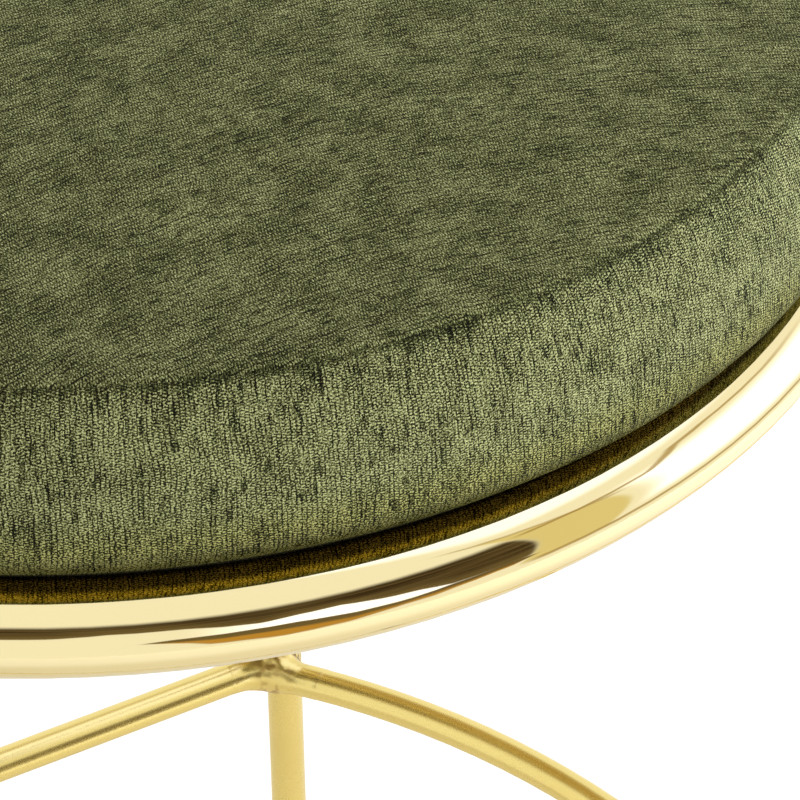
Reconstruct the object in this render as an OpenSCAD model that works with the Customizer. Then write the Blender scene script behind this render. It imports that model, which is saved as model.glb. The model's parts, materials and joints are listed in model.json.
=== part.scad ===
// Backless bar stool: a round upholstered pad on a polished ring, four splayed rod legs
// and a bent footrest hoop. Millimetres, +Z up, origin on the floor under the seat's axis.
// The straight footrest bars run along X, at the front (-Y) and at the rear (+Y).

/* [Overall] */
// Height from the floor to the top of the crowned pad
seat_height = 760; // [620:1:820]
// Largest diameter of the pad, which the ring, the board and the seam follow
pad_d = 424; // [380:1:460]
// How far the polished ring's centreline lies inside the pad's widest line
ring_inset = 9.15; // [6:0.05:12]
// Diameter of the tube that the ring is bent from
ring_tube_d = 25; // [22:0.1:28]
// Wall of the ring's tube
ring_wall = 1.5; // [1:0.1:3]

/* [Legs] */
// Diameter of the leg rods
leg_d = 12; // [10:0.5:16]
// Outward lean of each leg, in degrees
leg_splay = 7.9; // [5:0.1:10]

/* [Glides] */
// Outer diameter of the floor glides at their foot
glide_d = 20; // [19:0.5:26]
// Outer diameter of the floor glides at their mouth
glide_mouth_d = 16.5; // [16.5:0.5:19]
// Height of the floor glides
glide_h = 24; // [18:0.5:36]
// Plastic left between the end of a leg and the floor
glide_floor = 3; // [2:0.5:6]

/* [Footrest] */
// Height of the footrest's centreline above the floor
footrest_height = 300; // [200:1:380]
// Diameter of the footrest rod
footrest_d = 11; // [8:0.5:14]
// How far the side arcs bow out past the axes of the legs
footrest_bow = 56; // [40:1:80]
// How far the straight bars lie inside the axes of the legs
footrest_bar_inset = 3; // [0:0.5:8]
// Centreline radius of the four bends between bars and arcs
footrest_bend_r = 20; // [14:1:28]

/* [Crossbars] */
// Width of the flat bars that carry the seat board
crossbar_w = 30; // [24:1:40]
// Thickness of the flat bars
crossbar_t = 5; // [4:0.5:8]

/* [Seat screws] */
// Radius of the circle that the seat screws stand on
screw_circle_r = 110; // [80:1:150]
// Thread diameter of the seat screws
screw_d = 6; // [5:0.5:8]
// Length of the screws under their heads
screw_l = 19; // [18:0.5:20]
// Diameter of the screw heads
screw_head_d = 10.5; // [9:0.5:13]
// Height of the screw heads
screw_head_h = 3.3; // [2.5:0.1:5]
// Width across the corners of the hexagon socket
screw_socket_d = 4.6; // [3:0.1:6]
// Outer diameter of the washers
washer_d = 14; // [12:0.5:18]
// Thickness of the washers
washer_t = 1.6; // [1:0.1:2.5]
// Flange diameter of the tee nuts
nut_flange_d = 19; // [16:0.5:24]
// Flange thickness of the tee nuts
nut_flange_t = 1.4; // [1:0.1:2]
// Barrel diameter of the tee nuts
nut_barrel_d = 8.5; // [8.5:0.1:11]
// Barrel length of the tee nuts
nut_barrel_l = 9; // [6:0.5:10]

/* [Seat board] */
// How far the edge of the plywood seat board lies inside the pad's widest line
board_inset = 10; // [8:0.5:20]
// Thickness of the seat board
board_t = 12; // [11:0.5:18]

/* [Seat pad] */
// How far the seam between top panel and side band lies inside the pad's widest line
seam_inset = 11.5; // [6:0.5:20]
// Height of the seam above the underside of the board
seam_h = 50.5; // [44:0.5:70]
// Rise of the crown above the seam
crown_h = 13; // [6:0.5:24]
// Height of the pad's widest line above the underside of the board
pad_widest_h = 11.5; // [10:0.5:16]
// Radius of the pad's lower edge
pad_edge_r = 8; // [5:0.5:9]
// Thickness of the cover cloth
cloth_t = 1.2; // [0.8:0.1:2]
// Thickness of the fibre wrap between foam and cloth
wrap_t = 4; // [2:0.5:6]
// Depth of the sewn edges inside the seam
seam_allowance_w = 8; // [5:0.5:12]
// Thickness of the dust cover
dust_cover_t = 0.6; // [0.4:0.1:1]
// How far the dust cover laps the cloth that is turned under the board
dust_cover_lap = 6; // [3:0.5:12]

/* [Staples] */
// Distance from the ring's inner side to the circle of staples
staple_inset = 9.5; // [8:0.1:30]
// Number of staples that hold the cloth and the dust cover
staple_count = 16; // [8:4:32]
// Length of a staple's back
staple_l = 10; // [6:0.5:12]
// Depth that the staples are driven
staple_depth = 8; // [5:0.5:9]
// Width of the staple wire
staple_w = 1.2; // [0.8:0.1:1.6]
// Thickness of the staple wire
staple_t = 0.6; // [0.4:0.1:0.8]

/* [Hidden] */
$fn = 96;

// Clearance between pieces that are seated on a curved face
seat_gap = 0.3;
// Clearance of a weld bead on the metal that it joins
bead_gap = 0.2;
// Size of the weld beads
bead = 3;
// Thickness of a weld collar at its lower edge
bead_lip = 0.5;
// Radius of the ball that a weld between a leg and the footrest is cut from
footrest_bead_r = 7.2;
// Radial clearance of the screws in the crossbars, washers and nuts
screw_clearance = 0.3;
// Radial clearance of a leg in its glide, and of a tee nut in the board
press_clearance = 0.15;
// Depth of the hexagon sockets, as a share of the head height
socket_depth_share = 0.6;
// Flat outer face of the screw heads, as a share of their diameter
head_face_share = 0.6;
// End of the crossbars, in from the tube's centreline, as a share of the tube's radius
crossbar_end_share = 0.7;
// How far the footrest's bars and arcs run into the bends
joint_lap = 0.5;
// How much larger in radius the bends are than the bars and arcs that run into them
joint_step = 0.05;
// Overrun of every cut past the face that it opens
over = 1;

gold = "#d9b84e";
polished_gold = "#f3e2a0";
cloth_green = "#6b7350";

// Levels, worked up from the floor and down from the crown
board_z = seat_height - crown_h - seam_h;
dust_cover_z = board_z - cloth_t - dust_cover_t;
ring_tube_r = ring_tube_d / 2;
ring_z = dust_cover_z - ring_tube_r;
pad_r = pad_d / 2;
ring_r = pad_r - ring_inset;
seam_z = board_z + seam_h;
crossbar_z = dust_cover_z - crossbar_t;
board_r = pad_r - board_inset;
seam_r = pad_r - seam_inset;

// The legs stand on the diagonals, and their axes start on the ring's centreline
leg_azimuths = [225, 315, 135, 45];
leg_r = leg_d / 2;
function leg_radius_at(z) = ring_r + (ring_z - z) * tan(leg_splay);
leg_end_z = glide_floor + leg_r * sin(leg_splay);
leg_l = (ring_z - leg_end_z) / cos(leg_splay);

// The footrest's corner: where a leg's axis passes the footrest's level
footrest_r = footrest_d / 2;
leg_offset = leg_radius_at(footrest_height) * cos(leg_azimuths[3]);
contact = (leg_r + footrest_r + seat_gap) / cos(leg_splay);
// The side arc passes the reach at mid side and touches the legs from inside
arc_r = (pow(footrest_bow, 2) + pow(leg_offset, 2) - pow(contact, 2))
    / (2 * (contact + footrest_bow));
arc_x = leg_offset + footrest_bow - arc_r;
bar_y = leg_offset - footrest_bar_inset;
// A bend touches the bar's line from inside and the arc from inside
bend_y = bar_y - footrest_bend_r;
bend_x = arc_x + sqrt(pow(arc_r - footrest_bend_r, 2) - pow(bend_y, 2));
arc_half_angle = atan2(bend_y, bend_x - arc_x);

// Outline of the pad: the half profile in radius and height, outer face of the cloth
crown_steps = 14;
side_steps = 12;
edge_steps = 8;
// Power of the crown's curve: 2 is a plain bowl, more is a flatter top
crown_power_share = 2.4;
// Power of the side's curve above the widest line
side_power_share = 2.2;
widest_z = board_z + pad_widest_h;
edge_x = pad_r - pad_edge_r;

function crown_point(s) =
    [seam_r * s, seam_z + crown_h * (1 - pow(s, crown_power_share))];
function side_point(s) =
    [pad_r - (pad_r - seam_r) * pow(1 - s, side_power_share),
     seam_z - (seam_z - widest_z) * s];

// The cloth leaves the lower edge on the line that also touches the board's lower corner
edge_to_board = [board_r - edge_x, board_z - widest_z];
under_angle = atan2(edge_to_board[1], edge_to_board[0])
    + acos((pad_edge_r - cloth_t) / norm(edge_to_board));
function edge_point(s, inset) =
    let (a = under_angle * s)
    [edge_x + (pad_edge_r - inset) * cos(a), widest_z + (pad_edge_r - inset) * sin(a)];
function board_corner_point(s) =
    let (a = under_angle + (-90 - under_angle) * s)
    [board_r + cloth_t * cos(a), board_z + cloth_t * sin(a)];

// The outline moved inwards by a distance, square to the curve
function moved_in(before, after, at, distance) =
    let (d = after - before, l = norm(d))
    at + [-d[1], d[0]] * (-distance / l);
function crown_outline(inset) =
    [for (i = [0 : crown_steps])
        let (s = i / crown_steps, step = 1 / crown_steps / 2,
             p = moved_in(crown_point(max(0, s - step)), crown_point(min(1, s + step)),
                          crown_point(s), inset))
        i == 0 ? [0, seam_z + crown_h - inset] : p];
function side_outline(inset) =
    [for (i = [0 : side_steps])
        let (s = i / side_steps, step = 1 / side_steps / 2)
        moved_in(side_point(max(0, s - step)), side_point(min(1, s + step)),
                 side_point(s), inset)];
function edge_outline(inset) = [for (i = [1 : edge_steps]) edge_point(i / edge_steps, inset)];
function backwards(list) = [for (i = [len(list) - 1 : -1 : 0]) list[i]];

// Where the inner faces of the top panel and the side band meet, under the seam
function seam_corner(inset) =
    let (a = crown_outline(inset)[crown_steps], b = side_outline(inset)[0])
    (a + b) / 2;
function crown_inner(inset) =
    concat([for (i = [0 : crown_steps - 1]) crown_outline(inset)[i]], [seam_corner(inset)]);
function side_inner(inset) =
    concat([seam_corner(inset)], [for (i = [1 : side_steps]) side_outline(inset)[i]]);
// The closed outline of everything that lies inside a given depth, down to the board
function filling(inset, floor_z) =
    concat([[0, floor_z]], crown_inner(inset), [for (i = [1 : side_steps]) side_inner(inset)[i]]);

module at_leg(azimuth) {
    rotate([0, 0, azimuth]) translate([ring_r, 0, ring_z]) rotate([0, -leg_splay, 0])
        children();
}

module ring_shape(r) {
    translate([0, 0, ring_z]) rotate_extrude() translate([ring_r, 0]) circle(r);
}

module seat_ring() {
    color(polished_gold) translate([0, 0, ring_z]) rotate_extrude() translate([ring_r, 0])
        difference() {
            circle(ring_tube_r);
            circle(ring_tube_r - ring_wall);
        }
}

module leg_rod(azimuth, r, top = 0) {
    at_leg(azimuth) translate([0, 0, -leg_l]) cylinder(h = leg_l + top, r = r);
}

// A rod with its upper end coped to sit under the ring's tube
module leg(azimuth) {
    color(gold) difference() {
        leg_rod(azimuth, leg_r);
        ring_shape(ring_tube_r + seat_gap);
    }
}

// A tapered cap over the end of a leg, cut flat on the floor
module glide(azimuth) {
    color("#2b2a28") intersection() {
        difference() {
            at_leg(azimuth) translate([0, 0, -leg_l - glide_h]) {
                cylinder(h = glide_h, d = glide_d);
                translate([0, 0, glide_h])
                    cylinder(h = glide_h, d1 = glide_d, d2 = glide_mouth_d);
            }
            at_leg(azimuth) translate([0, 0, -leg_l])
                cylinder(h = glide_h + over, r = leg_r + press_clearance);
        }
        rotate([0, 0, azimuth])
            translate([leg_radius_at(0) - glide_d, -glide_d, 0])
                cube([2 * glide_d, 2 * glide_d, glide_h]);
    }
}

module rod_arc(radius, start, angle, r) {
    rotate([0, 0, start]) rotate_extrude(angle = angle) translate([radius, 0])
        circle(r);
}

module footrest_side() {
    lap_angle = joint_lap / arc_r * 180 / PI;
    translate([arc_x, 0, 0])
        rod_arc(arc_r, -arc_half_angle - lap_angle, 2 * (arc_half_angle + lap_angle), footrest_r);
    for (side = [0, 1]) mirror([0, side, 0])
        translate([bend_x, bend_y, 0])
            rod_arc(footrest_bend_r, arc_half_angle, 90 - arc_half_angle,
                    footrest_r + joint_step);
}

module footrest_shape() {
    translate([0, 0, footrest_height]) {
        footrest_side();
        mirror([1, 0, 0]) footrest_side();
        for (side = [-1, 1]) translate([-bend_x - joint_lap, side * bar_y, 0])
            rotate([0, 90, 0]) cylinder(h = 2 * (bend_x + joint_lap), r = footrest_r);
    }
}

module footrest_hoop() {
    color(gold) footrest_shape();
}

// A collar of weld round the top of each leg, coped to the leg and to the ring
module leg_ring_welds() {
    color(gold) for (azimuth = leg_azimuths) difference() {
        at_leg(azimuth) translate([0, 0, -ring_tube_r - bead])
            cylinder(h = 2 * bead, r1 = leg_r + bead_gap + bead_lip, r2 = leg_r + bead);
        leg_rod(azimuth, leg_r + bead_gap, over);
        ring_shape(ring_tube_r + bead_gap);
    }
}

// A ball of weld between each leg and the footrest, cut away to both rods
module leg_footrest_welds() {
    from_arc = [leg_offset - arc_x, leg_offset];
    outward = from_arc / norm(from_arc);
    rod_axis = [arc_x, 0] + outward * arc_r;
    ball_at = rod_axis + outward * (footrest_r + seat_gap / 2);
    color(gold) for (i = [0 : 3]) difference() {
        union() at_corner(i) translate([ball_at[0], ball_at[1], footrest_height])
            sphere(footrest_bead_r);
        leg_rod(leg_azimuths[i], leg_r + bead_gap);
        at_corner(i) translate([rod_axis[0], rod_axis[1], footrest_height])
            rotate([0, 0, atan2(outward[1], outward[0])]) rotate([90, 0, 0])
                cylinder(h = 2 * (footrest_bead_r + over), r = footrest_r + bead_gap, center = true);
    }
}

// From the rear right corner to the corner that holds the leg of the same number
module at_corner(i) {
    mirror([i % 2 == 0 ? 1 : 0, 0, 0]) mirror([0, i < 2 ? 1 : 0, 0]) children();
}

crossbar_end = ring_r - ring_tube_r * crossbar_end_share;

module crossbar_blank(inner, length) {
    difference() {
        translate([inner, -crossbar_w / 2, crossbar_z]) cube([length, crossbar_w, crossbar_t]);
        ring_shape(ring_tube_r + seat_gap);
        for (x = [-screw_circle_r, screw_circle_r])
            translate([x, 0, crossbar_z - over])
                cylinder(h = crossbar_t + 2 * over, d = screw_d + 2 * screw_clearance);
    }
}

module crossbar_full() {
    color(gold) rotate([0, 0, leg_azimuths[3]]) crossbar_blank(-crossbar_end, 2 * crossbar_end);
}

// Half bars butt against the sides of the full bar
module crossbar_half(azimuth) {
    color(gold) rotate([0, 0, azimuth])
        crossbar_blank(crossbar_w / 2, crossbar_end - crossbar_w / 2);
}

// A run of weld in the groove between the end of each bar and the ring
module crossbar_welds() {
    weld_w = crossbar_w - 2 * bead;
    inner_r = norm([crossbar_end, weld_w / 2]) + bead_gap;
    weld_angle = 2 * atan2(weld_w / 2, inner_r);
    color(gold) for (azimuth = leg_azimuths)
        rotate([0, 0, azimuth - weld_angle / 2]) rotate_extrude(angle = weld_angle)
            difference() {
                translate([inner_r, dust_cover_z - bead])
                    square([ring_r - inner_r, bead - bead_gap]);
                translate([ring_r, ring_z]) circle(ring_tube_r + bead_gap);
            }
}

module at_screws(z) {
    for (azimuth = leg_azimuths) rotate([0, 0, azimuth]) translate([screw_circle_r, 0, z])
        children();
}

washer_z = crossbar_z - washer_t;

module seat_screws() {
    color("silver") at_screws(washer_z) difference() {
        union() {
            cylinder(h = screw_l, d = screw_d);
            translate([0, 0, -screw_head_h])
                cylinder(h = screw_head_h, d1 = screw_head_d * head_face_share, d2 = screw_head_d);
        }
        translate([0, 0, -screw_head_h - over])
            cylinder(h = screw_head_h * socket_depth_share + over, d = screw_socket_d, $fn = 6);
    }
}

module seat_washers() {
    color("silver") at_screws(washer_z) difference() {
        cylinder(h = washer_t, d = washer_d);
        translate([0, 0, -over])
            cylinder(h = washer_t + 2 * over, d = screw_d + 2 * screw_clearance);
    }
}

nut_top_z = board_z + board_t;

module tee_nuts() {
    color("silver") at_screws(nut_top_z) difference() {
        union() {
            translate([0, 0, -nut_flange_t]) cylinder(h = nut_flange_t, d = nut_flange_d);
            translate([0, 0, -nut_barrel_l]) cylinder(h = nut_barrel_l, d = nut_barrel_d);
        }
        translate([0, 0, -nut_barrel_l - over])
            cylinder(h = nut_barrel_l + 2 * over, d = screw_d + 2 * screw_clearance);
    }
}

module seat_board() {
    color("#c9a877") difference() {
        translate([0, 0, board_z]) cylinder(h = board_t, r = board_r);
        at_screws(board_z) {
            translate([0, 0, -over])
                cylinder(h = board_t + 2 * over, d = nut_barrel_d + 2 * press_clearance);
            translate([0, 0, board_t - nut_flange_t])
                cylinder(h = nut_flange_t + over, d = nut_flange_d + 2 * press_clearance);
        }
        staple_legs(press_clearance, over);
    }
}

// The staples stand inside the ring, and hold both the turned cloth and the dust cover
staple_r = ring_r - ring_tube_r - staple_inset;
hem_r = staple_r - dust_cover_lap / 2;

module dust_cover() {
    color("#26262a") difference() {
        translate([0, 0, dust_cover_z])
            cylinder(h = dust_cover_t, r = hem_r + dust_cover_lap);
        at_screws(dust_cover_z - over)
            cylinder(h = dust_cover_t + 2 * over, d = screw_d + 2 * screw_clearance);
        staple_legs(press_clearance, over);
    }
}

// The two legs of every staple, or the slots that they are driven into
module staple_legs(grow, below) {
    at_staples() for (y = [-staple_l / 2, staple_l / 2 - staple_t])
        translate([-staple_w / 2 - grow, y - grow, -below])
            cube([staple_w + 2 * grow, staple_t + 2 * grow, staple_depth + grow + below]);
}

// Between the crossbars, where the dust cover laps the turned cloth
module at_staples() {
    for (i = [0 : staple_count - 1]) rotate([0, 0, (i + 0.5) * 360 / staple_count])
        translate([staple_r, 0, dust_cover_z]) children();
}

module staples() {
    color("silver") union() {
        at_staples() translate([-staple_w / 2, -staple_l / 2, -staple_t])
            cube([staple_w, staple_l, staple_t]);
        staple_legs(0, 0);
    }
}

// Foam block on top of the board, crowned and drawn in like the pad
module foam_core() {
    foam_bottom_z = board_z + board_t;
    color("#e9dfb8") rotate_extrude() intersection() {
        polygon(filling(cloth_t + wrap_t, board_z));
        translate([0, foam_bottom_z]) square([pad_d, seat_height]);
    }
}

// Fibre sheet between foam and cloth, down over the edge of the board
module fibre_wrap() {
    color("white") rotate_extrude() difference() {
        polygon(concat(filling(cloth_t, board_z), edge_outline(cloth_t), [[board_r, board_z]]));
        polygon(filling(cloth_t + wrap_t, board_z));
        square([board_r, board_z + board_t]);
        seam_allowance_outline(seat_gap);
    }
}

// The sewn edges of both panels, folded in under the top panel beside the seam
module seam_allowance_outline(grow) {
    outer = seam_corner(cloth_t);
    along = crown_outline(cloth_t)[crown_steps - 1] - outer;
    in_dir = along / norm(along);
    down_dir = [-in_dir[1], in_dir[0]];
    low = down_dir * (2 * cloth_t + grow);
    high = -down_dir * grow;
    inner = in_dir * (seam_allowance_w + grow);
    polygon([for (corner = [high - in_dir * grow, high + inner, low + inner, low - in_dir * grow])
        outer + corner]);
}

module seam_allowance() {
    color(cloth_green) rotate_extrude() seam_allowance_outline(0);
}

module cover_top() {
    color(cloth_green) rotate_extrude()
        polygon(concat(crown_outline(0), backwards(crown_inner(cloth_t))));
}

// Side band from the seam, round the lower edge and under the rim of the board
module cover_band() {
    under_steps = [0 : edge_steps];
    outer = concat(side_outline(0), edge_outline(0),
                   [for (i = under_steps) board_corner_point(i / edge_steps)],
                   [[hem_r, board_z - cloth_t]]);
    inner = concat(side_inner(cloth_t), edge_outline(cloth_t),
                   [[board_r, board_z], [hem_r, board_z]]);
    color(cloth_green) difference() {
        rotate_extrude() polygon(concat(outer, backwards(inner)));
        staple_legs(press_clearance, over);
    }
}

seat_ring();
leg(leg_azimuths[0]);  // leg_front_left
leg(leg_azimuths[1]);  // leg_front_right
leg(leg_azimuths[2]);  // leg_rear_left
leg(leg_azimuths[3]);  // leg_rear_right
glide(leg_azimuths[0]);  // glide_front_left
glide(leg_azimuths[1]);  // glide_front_right
glide(leg_azimuths[2]);  // glide_rear_left
glide(leg_azimuths[3]);  // glide_rear_right
footrest_hoop();
leg_ring_welds();
leg_footrest_welds();
crossbar_full();
crossbar_half(leg_azimuths[2]);  // crossbar_half_left
crossbar_half(leg_azimuths[1]);  // crossbar_half_right
crossbar_welds();
seat_screws();
seat_washers();
tee_nuts();
seat_board();
dust_cover();
staples();
foam_core();
fibre_wrap();
seam_allowance();
cover_band();
cover_top();
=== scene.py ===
"""Looks of a backless bar stool: chenille pad, polished gold ring, satin gold rod legs and footrest."""

import json
from math import acos, atan2, cos, exp, hypot, pi, radians, sin, sqrt, tan, tau

import bmesh
import bpy
import numpy as np
from mathutils import Matrix, Vector, noise
from mathutils.bvhtree import BVHTree


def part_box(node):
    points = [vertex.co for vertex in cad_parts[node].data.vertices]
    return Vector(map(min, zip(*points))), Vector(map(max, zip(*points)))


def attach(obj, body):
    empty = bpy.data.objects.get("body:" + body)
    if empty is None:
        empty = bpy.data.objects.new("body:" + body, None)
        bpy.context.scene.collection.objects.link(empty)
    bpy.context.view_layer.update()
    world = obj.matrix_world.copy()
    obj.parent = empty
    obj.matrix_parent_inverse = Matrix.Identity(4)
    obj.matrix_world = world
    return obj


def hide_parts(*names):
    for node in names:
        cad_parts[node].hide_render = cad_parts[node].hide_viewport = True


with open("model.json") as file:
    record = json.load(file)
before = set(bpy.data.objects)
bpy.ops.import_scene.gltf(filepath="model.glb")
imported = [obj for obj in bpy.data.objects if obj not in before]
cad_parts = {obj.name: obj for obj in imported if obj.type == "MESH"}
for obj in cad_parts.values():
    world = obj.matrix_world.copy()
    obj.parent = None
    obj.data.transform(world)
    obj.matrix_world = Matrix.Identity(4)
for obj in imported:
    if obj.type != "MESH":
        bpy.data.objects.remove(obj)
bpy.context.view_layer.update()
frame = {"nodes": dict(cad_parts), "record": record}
MM = 0.001


def tree_of(mesh):
    """A tree over a mesh's faces, in which to find the point of the mesh nearest to a given one."""
    return BVHTree.FromPolygons([v.co for v in mesh.vertices], [p.vertices[:] for p in mesh.polygons])


# The camera, from the outlines of the ring, the footrest and the leg in the photograph
CAMERA_AZIMUTH = radians(32.815)
CAMERA_ELEVATION = radians(36.791)
CAMERA_ROLL = radians(-1.619)
CAMERA_FROM_RING = Vector((-504.8, -951.9, 717.15)) * MM
CAMERA_LENS = 225.0
CAMERA_SENSOR = 36.0

# Places taken from the frame
ring_low, ring_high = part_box("seat_ring")
top_low, top_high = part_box("cover_top")
band_low, band_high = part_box("cover_band")
board_low, board_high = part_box("seat_board")
dust_low, dust_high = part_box("dust_cover")
hoop_low, hoop_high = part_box("footrest_hoop")
RING_Z = (ring_low.z + ring_high.z) / 2
SEAM_R = (top_high.x - top_low.x) / 2
PAD_R = (band_high.x - band_low.x) / 2
BOARD_R = (board_high.x - board_low.x) / 2
DUST_R = (dust_high.x - dust_low.x) / 2
TUBE_R = (ring_high.z - ring_low.z) / 2
RING_R = (ring_high.x - ring_low.x) / 2 - TUBE_R
HOOP_Z = (hoop_low.z + hoop_high.z) / 2
SEAT_Z = top_high.z
BOARD_Z = board_low.z
LEG_SPLAY = radians(7.9)
# A leg's axis at the height of the footrest, away from the middle in X and in Y
LEG_OUT = (RING_R + (RING_Z - HOOP_Z) * tan(LEG_SPLAY)) / sqrt(2)
# Where the rod of the footrest touches a leg, in the corner with X and Y above 0
hoop_tree = tree_of(frame["nodes"]["footrest_hoop"].data)
JOINT_PLACE = hoop_tree.find_nearest(Vector((LEG_OUT, LEG_OUT, HOOP_Z)))[0]

# The pad's profile, as in the CAD solids
CROWN = 13 * MM
CROWN_POWER = 2.4
SIDE_POWER = 2.2
WIDEST_OVER_BOARD = 11.5 * MM
EDGE_R = 8 * MM
CLOTH = 1.2 * MM
HEM_W = 24.15 * MM
SEAM_Z = SEAT_Z - CROWN
WIDEST_Z = BOARD_Z + WIDEST_OVER_BOARD

# The pad's mesh: a square grid in the middle of the top, then rings at these distances from the seam, in mm
CORE_SHARE = 0.9
CORE_CELLS = 72
SEGMENTS = 4 * CORE_CELLS
TOP_GAPS = (17, 14, 11.5, 9, 7, 5.4, 4, 3, 2.2, 1.5, 0.9, 0.4)
SIDE_GAPS = (0.5, 1.1, 1.8, 2.7, 3.9, 5.4, 7.4, 10, 13, 16.5, 20, 23.5, 27, 30.5, 34, 37)

# The seam: how far it draws the cloth in, over what distance, and where its crease lies
SEAM_DEPTH = 0.7 * MM
SEAM_REACH = 1.5 * MM
CREASE_Z = SEAM_Z - 1.4 * MM

# The cloth simulation: rows held under the board, seam rows sewn short, and how much of the result is kept
HELD_ROWS = 12
SEWN_ROWS = ((-3, 0.3), (-2, 0.6), (-1, 1.0), (0, 1.0), (1, 1.0), (2, 0.6), (3, 0.3))
CLOTH_STEPS = 20
STRAY_SHARE = 0.28
STRAY_CAP = 1.2 * MM

# The weave: its rows' direction on the top panel from +X, how they bow, and its repeats in mm
WEAVE_TURN = radians(-3.5)
WEAVE_BOW = 0.00096
ROW_PITCH = 1.16
STITCH_PITCH = 0.69

# The blended weld at a corner of the footrest: how far it takes in the rods, how fine its skin is, how
# many steps place a point and how deep a point may lie
WELD_REACH = 24 * MM
WELD_VOXEL = 0.75 * MM
WELD_STEPS = 4
WELD_DEPTH = 1.5 * MM
# Its spread on the arc's side, what the straight bar's side has more, and the length of the change
WELD_SPREAD = (8 * MM, 9 * MM)
WELD_CHANGE = 8 * MM
# It stands proud of the rods, and drops into them from this share of its reach on
WELD_PROUD = 0.12 * MM
WELD_DROP = 0.45 * MM
WELD_DROP_FROM = 0.8
WELD_DROP_OVER = 0.18
WELD_RIPPLE = 0.5 * MM

# The dust cover: its even and uneven sag, and its puckers between the staples
SHEET_CELLS = 96
SHEET_THICKNESS = 0.5 * MM
SHEET_SAG = (1.6 * MM, 0.9 * MM)
SHEET_PUCKER = 0.12 * MM
STAPLES = 16
# It lies flat on the crossbars, and sags in full this far from them and from its edge
BAR_HALF = 17 * MM
SAG_FROM_BAR = 40 * MM
SAG_FROM_EDGE = 25 * MM

# A dark and a pale veneer of the board
VENEER_PAIR = 2.7 * MM

# Linear colours
WHITE = (1.0, 1.0, 1.0, 1.0)
GOLD_SATIN = (0.94, 0.76, 0.27)
GOLD_POLISHED = (0.945, 0.815, 0.45)
# The pile from its shaded foot to its lit tips, along the chenille's level
MIDDLE_LEVEL = 0.475
PILE_TONES = ((0.12, (0.003, 0.003, 0.001)), (0.36, (0.022, 0.023, 0.006)),
              (0.57, (0.100, 0.110, 0.031)), (1.00, (0.52, 0.55, 0.25)))
# Painted light and shade tints between two heights from the pad's widest line, in mm, and whether only face
# on
LOWER_EDGE_PAINTED_LIGHT = ((12, 0, (0.93, 0.88, 0.68), False), (2.5, -4.5, (0.50, 0.48, 0.44), False),
                    (-1.5, -5.5, (2.60, 1.97, 0.71), True), (-8.0, -10.5, (0.20, 0.20, 0.40), False))

# The studio
FLOOR_R = 1.35
FLOOR_CORNERS = 96
FLOOR_GLOW_SEEN = 0.36
FLOOR_GLOW_MIRRORED = 0.20
# Edges in the mirrored room, as (turn, rise): degrees to the right of the way back to the camera, and up
RAMP_TURN = 120
SILL = ((0, 3), (4, 4), (10, 8.5), (16, 8), (19, 8), (23, 3), (28, -1.5), (33, 2.5), (38, 3.5),
        (43, -4), (48, -8), (53, -16))
STRIP_MIDDLE = ((14, -15.5), (18, -15.5), (23, -19), (28, -19.3), (33, -20.5), (38, -22), (41, -23),
                (48, -22), (60, -17))
STRIP_HALF = ((13, 0), (18, 5), (23, 8.8), (28, 9.7), (33, 10.5), (38, 8.1), (43, 6.2), (48, 4.5),
              (52, 6), (62, 5), (66, 0))
WINDOW_HEAD = ((70, 29), (86, 25), (98, 36), (106, 37), (118, 33))
WINDOW_FOOT = -25.0


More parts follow.
